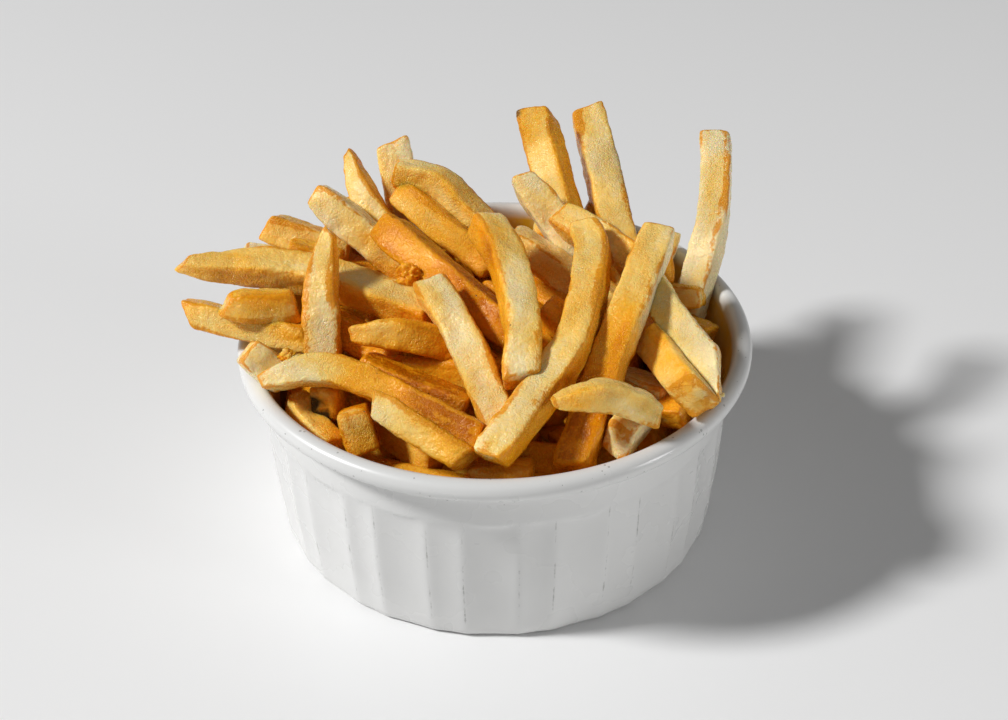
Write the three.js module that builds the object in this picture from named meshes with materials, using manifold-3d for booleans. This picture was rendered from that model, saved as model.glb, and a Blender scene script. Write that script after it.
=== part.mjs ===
import * as THREE from "three";
import Module from "manifold-3d";

// A fluted ramekin heaped with french fries. Millimetres, +Z up. The origin is the centre
// of the ramekin's foot and the front of the heap faces -Y.

const wasm = await Module();
wasm.setup();

// ---- ramekin: rings of a lathed profile, scalloped on the outside ----

const FLUTE_REPEATS = 17; // each repeat is one wide and one narrow scallop
const WIDE_SHARE = 0.61; // of a repeat
const WIDE_CENTRE = THREE.MathUtils.degToRad(-91.2); // the middle of one wide scallop
const WIDE_STEPS = 3;
const NARROW_STEPS = 2;
const WIDE_DEPTH = 0.9;
const NARROW_DEPTH = 0.5;
const FLOOR_TOP = 6;

// [radius, height, share of the scallops' depth]: up the outside, over the rim, down the inside
const PROFILE = [
  [56.2, 0, 0.3],
  [57.4, 0.7, 0.35],
  [58.2, 2.2, 0.5],
  [59.4, 14, 1],
  [60.2, 26, 1],
  [60.5, 36.5, 0.9],
  [60.8, 39.6, 0],
  [61.2, 46.4, 0],
  [62, 48, 0],
  [64.8, 49.5, 0],
  [66, 52.1, 0],
  [65.3, 53.8, 0],
  [63.6, 54.5, 0],
  [61.9, 54.2, 0],
  [61, 52.4, 0],
  [58.9, 45.5, 0],
  [55.4, 11, 0],
  [52, 7, 0],
];

// ---- fries ----

// [points along the middle, width, thickness, turn in degrees about its length,
//  [share of the section at the start, length it grows over], [the same at the end]]
const BLUNT = [0.8, 4];
const OVER_THE_RIM = [
  [[[-82, 10, 66], [-47, 7, 66], [-12, -9, 62]], 8.8, 7.6, 15, [0.22, 22], [0.75, 5]],
  [[[-79.5, -3, 60.5], [-44, -13, 58]], 7.6, 7, 5, [0.5, 8], BLUNT],
  [[[-69, -9, 67], [-48, -6, 64.5]], 8.4, 8, 25, [0.55, 7], BLUNT],
  [[[-63.5, -23.5, 63.5], [-49, -26, 56]], 9, 7.8, 15, [0.5, 8], BLUNT],
  [[[-57, -31, 59], [-37, -31, 62], [-2, -51, 56]], 8.6, 7.4, 25, [0.3, 14], [0.8, 5]],
  [[[-60, -6, 58.5], [-44, -12, 50]], 7.8, 7.4, 10, BLUNT, BLUNT],
  [[[-62, 33, 65], [-38, 26, 60]], 8.4, 8.4, 25, [0.85, 4], BLUNT],
  [[[-70, 25, 62], [-47, 20, 58]], 7.6, 7.2, 10, [0.4, 8], BLUNT],
  [[[-55, 19, 66], [-40, 18, 62]], 7.6, 7.2, 10, [0.7, 4], BLUNT],
];
const FRONT = [
  [[[-41, 4, 82], [-43, -5, 69], [-43, -18, 53]], 9.4, 7, -10, [0.12, 22], [0.8, 5]],
  [[[-50.5, -17.5, 49.5], [-45, -29.2, 48], [-37, -36.4, 46.5]], 7.2, 7.2, 20, [0.7, 5], [0.7, 5]],
  [[[-40, -32, 52], [-36, -10, 48]], 8, 7.6, 0, BLUNT, BLUNT],
  [[[-35, -39, 52.5], [-22, -43, 44]], 9, 9, 15, [0.85, 3], BLUNT],
  [[[-27, -40, 60], [-5, -55, 53]], 7.4, 7.2, 15, [0.6, 7], BLUNT],
  [[[-26, -44, 49], [-10, -52, 47]], 7.8, 7.6, 20, BLUNT, BLUNT],
  [[[-17, -6, 72], [-7.4, -22, 65], [4, -50, 52]], 8.6, 7.2, 5, [0.85, 4], BLUNT],
  [[[-3, 11, 79], [3, -6, 78], [6.6, -27, 72.5], [6.4, -39.5, 66.5]], 8.6, 8, 18, [0.85, 4], [0.9, 4]],
  [[[23, 11, 78], [24.5, -4, 75], [17.5, -31, 68], [-2, -60, 58]], 8.4, 8, -15, [0.6, 6], [0.65, 7]],
  [[[42, 8, 77], [30, -24, 67], [18.4, -55, 54]], 8.8, 8.4, -20, [0.85, 4], [0.85, 4]],
  [[[15, 21, 76], [30, 9, 74], [43, -8, 68], [52.5, -35, 58]], 8.2, 8.4, 15, [0.5, 8], [0.3, 10]],
  [[[12.8, -50.5, 68], [25, -47.5, 65], [40, -47.5, 58]], 7.4, 6.6, 15, [0.25, 12], [0.6, 6]],
  [[[35, -13, 62], [50, -40, 59.3]], 8.2, 7.6, 15, BLUNT, [0.85, 4]],
  [[[38, -36, 56.5], [29, -49.7, 53]], 8, 7.6, 0, BLUNT, BLUNT],
  [[[-2, -52.5, 48], [15, -51, 48]], 7.6, 7.4, 20, BLUNT, BLUNT],
  [[[26, -22, 54], [44, -30, 52]], 8, 7.6, 20, BLUNT, BLUNT],
  [[[40, -34, 51], [50, -12, 50]], 8, 7.6, 10, BLUNT, BLUNT],
];
const MIDDLE = [
  [[[-36, -19, 65], [-20, -19, 64], [0, -30, 50]], 8.8, 7.8, 20, [0.25, 12], BLUNT],
  [[[-35, -22, 58], [-6, -35, 53]], 8.4, 8, 20, BLUNT, BLUNT],
  [[[-29, 20, 73], [8, -20, 61]], 9.6, 8.8, 10, [0.8, 6], BLUNT],
  [[[-24, 8, 65], [6, -20, 56]], 8.2, 8, 10, [0.8, 5], BLUNT],
  [[[4, 20, 69], [34, 1, 57]], 8.4, 8, 20, BLUNT, BLUNT],
  [[[12, -7, 65], [23, -17, 58]], 8, 7.8, 0, BLUNT, BLUNT],
  [[[-6, -14, 56], [11, -28, 50]], 8.2, 8, 0, BLUNT, BLUNT],
  [[[-16, 16, 58], [12, -6, 56]], 8.2, 8, 10, BLUNT, BLUNT],
  [[[-22, -2, 60], [8, -20, 54]], 8.4, 8, 10, BLUNT, BLUNT],
  [[[-4, 6, 62], [24, -16, 56]], 8.4, 8, 10, BLUNT, BLUNT],
  [[[36, 8, 55], [46, -18, 50]], 8.2, 8, 10, BLUNT, BLUNT],
  [[[16, -26, 58], [38, -34, 52]], 8.2, 8, 10, BLUNT, BLUNT],
  [[[-44, -2, 58], [-22, -16, 54]], 8.2, 8, 10, BLUNT, BLUNT],
  [[[55, 9, 57], [36, 19, 53]], 7.4, 7, 0, [0.7, 6], BLUNT],
  [[[56, -3, 52], [44, 10, 48]], 7.2, 7, 0, [0.7, 5], BLUNT],
];
const BACK = [
  [[[61, 52, 81], [59, 30, 68], [51.5, 5, 47]], 7.8, 7.2, -15, [0.92, 2], BLUNT],
  [[[11.5, 67, 83], [25, 13, 50]], 9.8, 9.2, -25, [0.9, 3], BLUNT],
  [[[27.8, 72.5, 77.2], [38, 12, 50]], 9.6, 8.6, -18, [0.85, 5], BLUNT],
  [[[6, 33, 81], [25, 18, 62]], 9, 8.6, 0, [0.35, 10], BLUNT],
  [[[44, 17, 69], [43, 22, 50]], 8, 7.6, 0, BLUNT, BLUNT],
  [[[-41, 50, 80], [-34, 36, 69], [-18, 23, 53]], 8, 7.4, -10, [0.12, 26], BLUNT],
  [[[-29, 55, 79], [-23, 33, 54]], 8.2, 7.8, 0, [0.6, 8], BLUNT],
  [[[-28, 42, 77], [-15, 39, 76], [-6, 32, 70], [5, 24, 61]], 8, 7.4, 20, [0.7, 8], BLUNT],
  [[[-26, 41, 72], [1, 15, 61]], 8.8, 8, 10, [0.8, 5], BLUNT],
  [[[-47, 33, 75], [-12, 11, 53]], 8.8, 8.2, -15, [0.6, 8], BLUNT],
  [[[-14, 62, 60], [-6, 34, 55]], 8.4, 8, 10, BLUNT, BLUNT],
  [[[-10, 46, 49], [22, 44, 51]], 8.4, 8, 20, BLUNT, BLUNT],
  [[[18, 64, 60], [14, 34, 57]], 8.2, 8, 0, [0.5, 8], BLUNT],
  [[[33, 58, 60.5], [22, 30, 56]], 8.4, 8, 20, BLUNT, BLUNT],
  [[[50, 40, 61], [42, 24, 55]], 8.2, 8, 20, [0.6, 8], BLUNT],
  [[[-38, 55, 61], [-36, 30, 56]], 8.2, 8, 0, BLUNT, BLUNT],
  [[[-54, 30, 58.5], [-28, 20, 54]], 8.2, 8, 0, BLUNT, BLUNT],
];

// The bed under them: layers of fries round a spiral, [count, outer radius, height, drop at the edge]
const BED_LAYERS = [
  [28, 48, 50, 6],
  [12, 30, 57, 3],
];
const BED_SEED = 20261;
const BED_HALF_LENGTH = [13, 6]; // least, and what the draw adds
const BED_WIDTH = [7.6, 1];
const BED_THICKNESS = [7.4, 0.8];
const BED_TILT = 2.5;
const BED_MOST_TURN = 40;
const BED_ROUND_THE_WALL = 0.6; // beyond this share of the radius a fry lies along the wall
const BED_SWING = 0.35; // radians either way from that direction

// The mass of fries below the bed, [radius, height], clear of the ramekin's inside
const CORE = [
  [50.6, 7.6],
  [54.4, 11.6],
  [56, 38],
  [48, 45],
  [36, 52],
  [20, 57],
];
const CORE_FOOT = 7;
const CORE_TOP = 58;
const CORE_STEPS = 24;

const CORNER = 0.22; // the section's cut corner as a share of the thickness
const BEND_STEPS = 2; // sections between two points of a bent fry

// ---- forms ----

// A closed surface over rings of points that turn anticlockwise about the way they run.
function skin(rings, first, last) {
  const steps = rings[0].length;
  const points = [...rings.flat(), first, last];
  const index = [];
  const at = (ring, step) => ring * steps + (step % steps);
  for (let k = 0; k < steps; k++) {
    index.push(points.length - 2, at(0, k + 1), at(0, k));
    index.push(points.length - 1, at(rings.length - 1, k), at(rings.length - 1, k + 1));
    for (let j = 0; j < rings.length - 1; j++) {
      index.push(at(j, k), at(j, k + 1), at(j + 1, k + 1));
      index.push(at(j, k), at(j + 1, k + 1), at(j + 1, k));
    }
  }
  return new THREE.BufferGeometry().setFromPoints(points).setIndex(index);
}

function ringOf(radiusAt, angles, z) {
  return angles.map((a) => {
    const r = radiusAt(a);
    return new THREE.Vector3(r * Math.cos(a), r * Math.sin(a), z);
  });
}

function ramekin() {
  const pitch = (2 * Math.PI) / FLUTE_REPEATS;
  const wide = WIDE_SHARE * pitch;
  const angles = [];
  const depths = new Map();
  const scallop = (start, width, steps, depth) => {
    for (let i = 0; i < steps; i++) {
      const u = i / steps;
      angles.push(start + u * width);
      depths.set(angles.at(-1), depth * 4 * u * (1 - u));
    }
  };
  for (let k = 0; k < FLUTE_REPEATS; k++) {
    const start = WIDE_CENTRE - wide / 2 + k * pitch;
    scallop(start, wide, WIDE_STEPS, WIDE_DEPTH);
    scallop(start + wide, pitch - wide, NARROW_STEPS, NARROW_DEPTH);
  }
  const rings = PROFILE.map(([r, z, share]) => ringOf((a) => r - share * depths.get(a), angles, z));
  return skin(rings, new THREE.Vector3(0, 0, 0), new THREE.Vector3(0, 0, FLOOR_TOP));
}

function core() {
  const angles = Array.from({ length: CORE_STEPS }, (_, k) => (2 * Math.PI * k) / CORE_STEPS);
  const rings = CORE.map(([r, z]) => ringOf(() => r, angles, z));
  return skin(rings, new THREE.Vector3(0, 0, CORE_FOOT), new THREE.Vector3(0, 0, CORE_TOP));
}

// One fry: a square section with cut corners along a curve through its points.
function fry([points, width, thickness, turn, start, end]) {
  const p = points.map((q) => new THREE.Vector3(...q));
  const before = p[0].clone().multiplyScalar(2).sub(p[1]);
  const after = p.at(-1).clone().multiplyScalar(2).sub(p.at(-2));
  const knots = [before, ...p, after];
  const place = (u) => {
    const k = Math.min(Math.floor(u), points.length - 2);
    const t = u - k;
    const [a, b, c, d] = knots.slice(k, k + 4);
    const mix = (i) =>
      0.5 *
      (2 * b[i] +
        (c[i] - a[i]) * t +
        (2 * a[i] - 5 * b[i] + 4 * c[i] - d[i]) * t * t +
        (3 * b[i] - a[i] - 3 * c[i] + d[i]) * t * t * t);
    return new THREE.Vector3(mix("x"), mix("y"), mix("z"));
  };
  const spans = points.length - 1;
  const samples = Array.from({ length: 24 * spans + 1 }, (_, i) => place(i / 24));
  const run = [0];
  for (let i = 1; i < samples.length; i++) run.push(run[i - 1] + samples[i].distanceTo(samples[i - 1]));
  const length = run.at(-1);
  const along = (s) => {
    const i = Math.max(1, run.findIndex((r) => r >= s - 1e-9));
    const t = (s - run[i - 1]) / (run[i] - run[i - 1]);
    return {
      middle: samples[i - 1].clone().lerp(samples[i], t),
      way: samples[i].clone().sub(samples[i - 1]).normalize(),
    };
  };
  const grow = ([share, over], s) => share + (1 - share) * Math.sqrt(Math.min(1, Math.max(0, s) / over));
  const stops = new Set([0, length]);
  for (const [[share, over], side] of [[start, 0], [end, 1]]) {
    const places = share < 0.5 ? [over / 4, over] : [Math.min(over, length / 3)];
    for (const s of places) stops.add(side ? length - s : s);
  }
  const bends = spans > 1 ? spans * BEND_STEPS : 1;
  for (let i = 1; i < bends; i++) {
    const s = (length * i) / bends;
    if ([...stops].every((t) => Math.abs(t - s) > 4)) stops.add(s);
  }
  const cut = CORNER * Math.min(width, thickness);
  const [hw, ht] = [width / 2, thickness / 2];
  const outline = [
    [hw, ht - cut], [hw, cut - ht], [hw - cut, -ht], [cut - hw, -ht],
    [-hw, cut - ht], [-hw, ht - cut], [cut - hw, ht], [hw - cut, ht],
  ];
  const angle = THREE.MathUtils.degToRad(turn);
  const rings = [...stops]
    .sort((a, b) => a - b)
    .map((s) => {
      const { middle, way } = along(s);
      const side = new THREE.Vector3().crossVectors(way, new THREE.Vector3(0, 0, 1)).normalize();
      const up = new THREE.Vector3().crossVectors(side, way);
      const across = side.clone().multiplyScalar(Math.cos(angle)).addScaledVector(up, Math.sin(angle));
      const over = up.multiplyScalar(Math.cos(angle)).addScaledVector(side, -Math.sin(angle));
      const size = Math.min(grow(start, s), grow(end, length - s));
      return outline.map(([x, y]) =>
        middle.clone().addScaledVector(across, size * x).addScaledVector(over, size * y),
      );
    });
  return skin(rings, samples[0], samples.at(-1));
}

function bed() {
  let state = BED_SEED;
  const draw = () => {
    state = (Math.imul(state, 1664525) + 1013904223) >>> 0;
    return state / 2 ** 32;
  };
  const golden = Math.PI * (3 - Math.sqrt(5));
  return BED_LAYERS.flatMap(([count, radius, height, drop]) =>
    Array.from({ length: count }, (_, k) => {
      const r = radius * Math.sqrt((k + 0.5) / count);
      const a = k * golden;
      const free = Math.PI * draw();
      const half = BED_HALF_LENGTH[0] + BED_HALF_LENGTH[1] * draw();
      const width = BED_WIDTH[0] + BED_WIDTH[1] * draw();
      const thickness = BED_THICKNESS[0] + BED_THICKNESS[1] * draw();
      const tilt = BED_TILT * (2 * draw() - 1);
      const turn = BED_MOST_TURN * draw();
      const swing = BED_SWING * (2 * draw() - 1);
      const way = r > BED_ROUND_THE_WALL * radius ? a + Math.PI / 2 + swing : free;
      const [x, y, z] = [r * Math.cos(a), r * Math.sin(a), height - drop * (r / radius) ** 2];
      const [dx, dy] = [half * Math.cos(way), half * Math.sin(way)];
      const ends = [[x - dx, y - dy, z - tilt], [x + dx, y + dy, z + tilt]];
      return [ends, width, thickness, turn, BLUNT, BLUNT];
    }),
  );
}

// ---- the two nodes ----

function solidOf(geometry) {
  return new wasm.Manifold(
    new wasm.Mesh({
      numProp: 3,
      vertProperties: geometry.getAttribute("position").array,
      triVerts: new Uint32Array(geometry.index.array),
    }),
  );
}

// The outside of the largest body: what hangs loose is left out and sealed hollows are filled.
function largest(solid) {
  return solid.decompose().reduce((a, b) => (b.volume() > a.volume() ? b : a));
}

function geometryOf(solid) {
  const { vertProperties, triVerts, numProp, numVert } = solid.getMesh();
  const position = new Float32Array(3 * numVert);
  for (let i = 0; i < numVert; i++) {
    position.set(vertProperties.subarray(i * numProp, i * numProp + 3), 3 * i);
  }
  return new THREE.BufferGeometry()
    .setAttribute("position", new THREE.BufferAttribute(position, 3))
    .setIndex(new THREE.BufferAttribute(triVerts, 1));
}

function node(name, geometry, material) {
  const mesh = new THREE.Mesh(geometry, new THREE.MeshStandardMaterial(material));
  mesh.geometry.computeVertexNormals();
  mesh.name = name;
  return mesh;
}

const rows = [...OVER_THE_RIM, ...FRONT, ...MIDDLE, ...BACK, ...bed()];
const heap = wasm.Manifold.union([solidOf(core()), ...rows.map((row) => solidOf(fry(row)))]);

const part = new THREE.Group();
part.name = "fries_in_ramekin";
part.add(node("ramekin", ramekin(), { color: 0xf2f2ee, roughness: 0.2 }));
part.add(node("fries", geometryOf(largest(heap)), { color: 0xe3b765, roughness: 0.6 }));
export default part;
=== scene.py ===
"""A fluted ramekin heaped with french fries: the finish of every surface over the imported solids."""

import math

import bpy
import numpy as np
from mathutils import Matrix, Vector, noise


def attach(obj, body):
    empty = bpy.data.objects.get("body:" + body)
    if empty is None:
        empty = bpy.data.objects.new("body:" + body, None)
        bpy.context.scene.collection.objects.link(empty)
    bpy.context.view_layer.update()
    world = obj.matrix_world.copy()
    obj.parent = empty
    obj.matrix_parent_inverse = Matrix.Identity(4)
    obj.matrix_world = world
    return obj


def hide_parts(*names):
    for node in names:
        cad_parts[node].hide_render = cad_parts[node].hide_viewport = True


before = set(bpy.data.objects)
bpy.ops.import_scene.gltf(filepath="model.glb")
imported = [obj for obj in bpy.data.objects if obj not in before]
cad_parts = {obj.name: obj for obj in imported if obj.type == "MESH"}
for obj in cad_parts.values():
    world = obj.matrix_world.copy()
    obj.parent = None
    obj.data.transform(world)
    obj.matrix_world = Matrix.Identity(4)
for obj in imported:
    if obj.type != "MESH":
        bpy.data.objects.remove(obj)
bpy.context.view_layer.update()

MM = 0.001
noise.seed_set(7)  # 0 would take the clock for a seed

# ---- the ramekin's sizes, in millimetres ----

FLUTE_REPEATS = 17  # each repeat is one wide and one narrow scallop
WIDE_SHARE = 0.61  # of a repeat
WIDE_CENTRE = math.radians(-91.2)  # bearing of the middle of the first wide scallop
WIDE_STEPS = 15
NARROW_STEPS = 9
WIDE_DEPTH = 0.95
NARROW_DEPTH = 0.55
FLUTE_TOP = 39.6
FLUTE_ARCH = 1.1  # how much lower a wide scallop starts where it is deepest
FLUTE_SPOON = 6.5  # length over which a scallop deepens below its top
FOOT_SCALLOP = 0.55  # share of the depth left at the foot
FOOT_GROWTH = (1, 12)  # heights between which that share grows to the whole
WALL_CORE = (57, 0.04)  # radius at the table, and slope, of a cone that runs inside the wall

# [radius, height] up the outside, over the rim, down the inside and across the floor
RAMEKIN_PROFILE = [
    (30, 0.5), (54.6, 0.5), (55.2, 0.1), (56.4, 0), (57.1, 0.2), (57.7, 0.8), (58.1, 1.7), (58.3, 3),
    (58.55, 6), (58.9, 10), (59.4, 14), (59.75, 18), (60, 22), (60.2, 26), (60.35, 30), (60.45, 33),
    (60.5, 35), (60.52, 36.2), (60.55, 37), (60.6, 37.6), (60.64, 38.2), (60.68, 38.8), (60.72, 39.4),
    (60.76, 40), (60.8, 41), (60.95, 43.5), (61.05, 45.6), (61.25, 46.8), (61.7, 47.7), (62.5, 48.4),
    (63.6, 48.9), (64.7, 49.5), (65.5, 50.4), (65.92, 51.4), (65.96, 52.4), (65.6, 53.4), (64.9, 54.1),
    (63.9, 54.45), (62.9, 54.45), (62.1, 54.2), (61.5, 53.6), (61.1, 52.6), (60.7, 51), (59.9, 48.6),
    (59, 45.5), (58, 38), (57, 28), (56.2, 18), (55.4, 11.4), (54.4, 9), (52.4, 7.2), (48, 6.3),
    (30, 6), (10, 6),
]

# where the glaze is marked
RIDGE_GROWTH = (1, 5)  # heights between which the thin lines along the ridges set in
CROWN_RADII = (60.5, 62)
CROWN_HEIGHTS = (48, 51)
CROWN_WEAR = 0.7
GROOVE_HEIGHT = 46.9
GROOVE_RADIUS = 60
GROOVE_REACH = (2.2, 0.4)  # distances from the groove where the dirt begins and is full
GROOVE_WEAR = 0.8
# [radius, height] of a line inside the wall, between its inner and its outer face
INNER_FACE = [(55, 8), (56.5, 11), (58.6, 38), (59.6, 45.5), (60.6, 48.6), (61.4, 51), (62, 53)]
UNDER_FLOOR = 5.5  # a height just below the floor's upper face
PAINTED_REFLECTION_HEIGHTS = (53.2, 50.8)  # heights where the painted golden reflection and bounce light of the fries on the inner wall begins and is full

# ---- the fries, close to where the solids have them ----

# Each row holds, in this order:
#   points along the middle, in millimetres, from its start to its end
#   width and thickness
#   turn in degrees about its length, or one at either end
#   (share of the section left at the start, length it grows over), and the same at the end
#   brownness, mostly from 0 to 1: one number, or one at either end, or one for each of four faces; besides
#       real browning it holds painted shade, browner on faces, ends and fries that lie in shade
#   and, where a cut end isn't left to chance, the slopes of both ends across the width and the thickness
BLUNT = (0.8, 4)  # in place of a share and a length, for most cut ends
ANYHOW = None  # in place of an end's slopes, to leave them to chance
OVER_THE_RIM = [
    (((-83.2, 10.4, 67.2), (-47, 7, 66), (-12, -9, 62)),
     9.2, 8, -7, (0.14, 24), (0.75, 5), (0.52, 0.34, 0.42, 0.42)),
    (((-79.5, -3, 61.6), (-44, -13, 58.6)), 7.6, 7, 28, (0.85, 4), BLUNT, 0.36, (0, -0.75), ANYHOW),
    (((-69, -9, 67), (-48, -6, 64.5)), 8.4, 8, 20, (0.3, 6), BLUNT, (0.32, 0.42), (0, 0.4), ANYHOW),
    (((-60.4, -23.7, 63.6), (-49.5, -26, 54)), 8.4, 7.8, 48, BLUNT, BLUNT, -0.02, (0, 0), ANYHOW),
    (((-57, -31, 59), (-37, -31, 62), (-2, -51, 56)), 8.6, 7.4, 47, (0.3, 14), (0.8, 5), (0.16, 1.05)),
    (((-60, -6, 58.5), (-44, -12, 50)), 7.8, 7.4, 29, BLUNT, BLUNT, 0.1),
    (((-62.6, 33, 65.6), (-38, 26, 60)), 8.4, 8.4, 25, (0.85, 4), BLUNT, 0.28),
    (((-70, 25, 62), (-47, 20, 58)), 7.6, 7.2, 10, (0.4, 8), BLUNT, -0.12),
    (((-55, 19, 66), (-40, 18, 62)), 7.6, 7.2, 10, (0.7, 4), BLUNT, 0.45),
]
FRONT = [
    (((-41, 4, 82), (-43, -5, 69), (-43, -18, 53)),
     9.4, 7, -3, (0.12, 22), (0.8, 5), (0.3, 0.14, 0.6, 0.3)),
    (((-49.6, -24, 49.6), (-46.4, -30.4, 48.5), (-41.8, -36.4, 47.5), (-37.6, -40.8, 46.4)),
     6, 6, 12, BLUNT, BLUNT, 0.3),
    (((-41.4, -32.2, 52.9), (-37, -10, 49)), 8, 9, 0, BLUNT, BLUNT, 0.42, (0, 0), ANYHOW),
    (((-34, -37.4, 55.8), (-30.4, -42.4, 45)),
     8.2, 8.8, -30, (0.9, 2.5), BLUNT, (0.6, 0.42, 0.85, 0.7), (0, 0), ANYHOW),
    (((-30.2, -38.6, 60.2), (-5, -55, 53)), 7.4, 7.2, 41, (0.6, 7), BLUNT, (0.16, 0.54)),
    (((-26, -40, 38.5), (-10, -47, 38)), 7.8, 7.6, 20, BLUNT, BLUNT, 0.9),
    (((-17, -6, 72), (-7.4, -22, 65), (4, -50, 52)),
     8.6, 7.2, -19, (0.85, 4), BLUNT, (0.3, 0.15, 0.56, 0.3)),
    (((-3, 11, 79), (3, -6, 78), (6.6, -27, 72.5), (6.2, -41, 64.5)),
     8.6, 8, (18, 0), (0.85, 4), (0.9, 4), (0.72, 0.26, 0.5, 0.4)),
    (((23, 11, 78), (24.5, -4, 75), (17.5, -31, 67.6), (-2, -58.8, 56.2)),
     8.4, 8, (-18, 8), (0.6, 6), (0.85, 5), (0.5, 0.22, 0.66, 0.45)),
    (((42, 8, 77), (30, -24, 67), (17, -51.5, 46.5)), 8.8, 8.4, 4, (0.85, 4), (0.85, 4), (0.18, 0.8)),
    (((15, 21, 76), (34, 5, 71), (45, -17, 64.8), (57.6, -39.4, 60)),
     8.2, 8.4, (52, 60), (0.5, 8), (0.95, 2), (0.24, 0.12), ANYHOW, (-0.39, 1.46)),
    (((12.8, -50.6, 67), (23.7, -47.7, 66.8), (32, -46.4, 63.6), (39.4, -45.6, 58.8)),
     7.4, 6.6, 15, (0.12, 12), (0.72, 4), (0.28, 0.22, 0.36, 0.26)),
    (((37.5, -14, 62), (48.2, -45.2, 60.8)),
     8.4, 7.4, -46, BLUNT, (1.2, 9), (0.56, 0.3), ANYHOW, (0.31, 0.9)),
    (((36, -36.6, 56), (27, -49.9, 52.4)), 8, 7.2, 8, BLUNT, BLUNT, -0.05),
    (((-7, -51.5, 45.5), (10, -51, 46.5)), 7.6, 7.4, 20, BLUNT, BLUNT, 0.2),
    (((26, -22, 54), (44, -30, 52)), 8, 7.6, 20, BLUNT, BLUNT, 0.05),
    (((41, -38.6, 51.5), (50, -14, 50)), 8, 7.6, 10, BLUNT, BLUNT, 0.5),
]
MIDDLE = [
    (((-36, -19, 65), (-21, -18.5, 64), (-8.5, -18, 59), (1.5, -21.7, 55.5)),
     8.8, 7.8, 29, (0.25, 12), BLUNT, (0.5, 1.02)),
    (((-35, -22, 58), (-6, -35, 53)), 8.4, 8, 20, BLUNT, BLUNT, 1.12),
    (((-29, 20, 73), (8, -20, 61)), 9.6, 8.8, 40, (0.8, 6), BLUNT, (0.64, 1.04)),
    (((-24, 8, 65), (6, -20, 56)), 8.2, 8, 28, (0.8, 5), BLUNT, 0.85),
    (((4, 20, 69), (34, 1, 57)), 8.4, 8, 20, BLUNT, BLUNT, 0.14),
    (((12, -7, 65), (23, -17, 58)), 8, 7.8, 0, BLUNT, BLUNT, 0.6),
    (((-6, -14, 56), (11, -28, 50)), 8.2, 8, 0, BLUNT, BLUNT, 0.6),
    (((-16, 16, 58), (12, -6, 56)), 8.2, 8, 26, BLUNT, BLUNT, 0.65),
    (((-22, -2, 60), (8, -20, 54)), 8.4, 8, 26, BLUNT, BLUNT, 0.55),
    (((-4, 6, 62), (24, -16, 56)), 8.4, 8, 26, BLUNT, BLUNT, 0.65),
    (((36, 8, 55), (46, -18, 50)), 8.2, 8, -10, BLUNT, BLUNT, 0.65),
    (((16, -26, 58), (38, -34, 52)), 8.2, 8, 24, BLUNT, BLUNT, 0.65),
    (((-44, -2, 58), (-22, -16, 54)), 8.2, 8, 26, BLUNT, BLUNT, 0.55),
    (((55, 11, 55), (36, 20, 51)), 7.4, 7, -19, (0.7, 6), BLUNT, 0.35),
    (((56, -3, 52), (44, 10, 48)), 7.2, 7, -19, (0.7, 5), BLUNT, 0.28),
]
BACK = [
    (((61, 52.4, 81.6), (58.6, 30, 68), (50.6, 11.4, 47.4)), 8.4, 7.4, -7, (0.92, 2), BLUNT, -0.03),
    (((11.5, 67, 83), (25, 13, 50)), 9.8, 9.2, -38, (0.9, 3), BLUNT, (0.5, 0.32, 0.66, 0.38)),
    (((26.8, 75.2, 79), (37.4, 12, 50)),
     9.4, 8, -6, (0.9, 4), BLUNT, (0.38, 0.23, 0.38, 0.28), (0.3, 0), ANYHOW),
    (((6, 33, 81), (25, 18, 62)), 9, 8.6, -35, (0.35, 10), BLUNT, 0.02),
    (((44, 17, 65), (43, 22, 48)), 8, 7.6, 0, BLUNT, BLUNT, 0.4),
    (((-40.6, 50, 80), (-33.2, 36, 69), (-17, 23, 53)),
     8, 7.4, -41, (0.12, 26), BLUNT, (0.3, 0.08, 0.5, 0.2)),
    (((-28.2, 56, 79.6), (-22.2, 33, 54)),
     9.4, 7.8, -10, (0.95, 2.5), BLUNT, (0.06, -0.08), (0.3, 0), ANYHOW),
    (((-28, 42, 77), (-15, 38.6, 75), (-6, 31.4, 69), (5, 24, 60.4)),
     8, 7.4, 12, (0.7, 8), BLUNT, (0.45, 0.28, 0.5, 0.5)),
    (((-26, 41, 72), (1, 15, 61)), 8.8, 8, 36, (0.8, 5), BLUNT, 0.5),
    (((-48, 33, 75.6), (-12.5, 11, 53)), 8.8, 8.2, -52, (0.6, 8), BLUNT, (0.05, 0.36)),
    (((-14, 62, 60), (-6, 34, 55)), 8.4, 8, 10, BLUNT, BLUNT, 0.3),
    (((-10, 46, 49), (22, 44, 51)), 8.4, 8, 20, BLUNT, BLUNT, 0.5),
    (((18, 64, 60), (14, 34, 57)), 8.2, 8, 0, (0.5, 8), BLUNT, 0.25),
    (((33, 58, 60.5), (22, 30, 56)), 8.4, 8, 20, BLUNT, BLUNT, 0.4),
    (((48.4, 38.6, 59), (41, 23.5, 54)), 8.2, 8, 20, (0.6, 8), BLUNT, 0.25),
    (((-38, 55, 61), (-36, 30, 56)), 8.2, 8, 0, BLUNT, BLUNT, 0.45),
    (((-54, 30, 58.5), (-28, 20, 54)), 8.2, 8, 0, BLUNT, BLUNT, 0.5),
]

# the bed under them: (count, outer radius, height, drop at the edge)
BED_LAYERS = [(28, 48, 50, 6), (12, 30, 57, 3)]
BED_SEED = 20261
DEEP_LAYERS = [(30, 50.2, 43, 3)]
DEEP_SEED = 77
GOLDEN = math.pi * (3 - math.sqrt(5))
# (the least, how much chance may add)
BED_HALF = (13, 6)
BED_WIDTH = (7.6, 1)
BED_THICKNESS = (7.4, 0.8)
BED_TILT = 2.5  # how far an end may lie above or below the middle
BED_TURN = 40  # most degrees of turn about the length
BED_SWING = 0.35  # most radians of turn from the wall's direction
BED_FREE = 0.6  # share of the radius up to which the fries lie any way
BED_BROWN = (0.3, 0.22)

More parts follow.
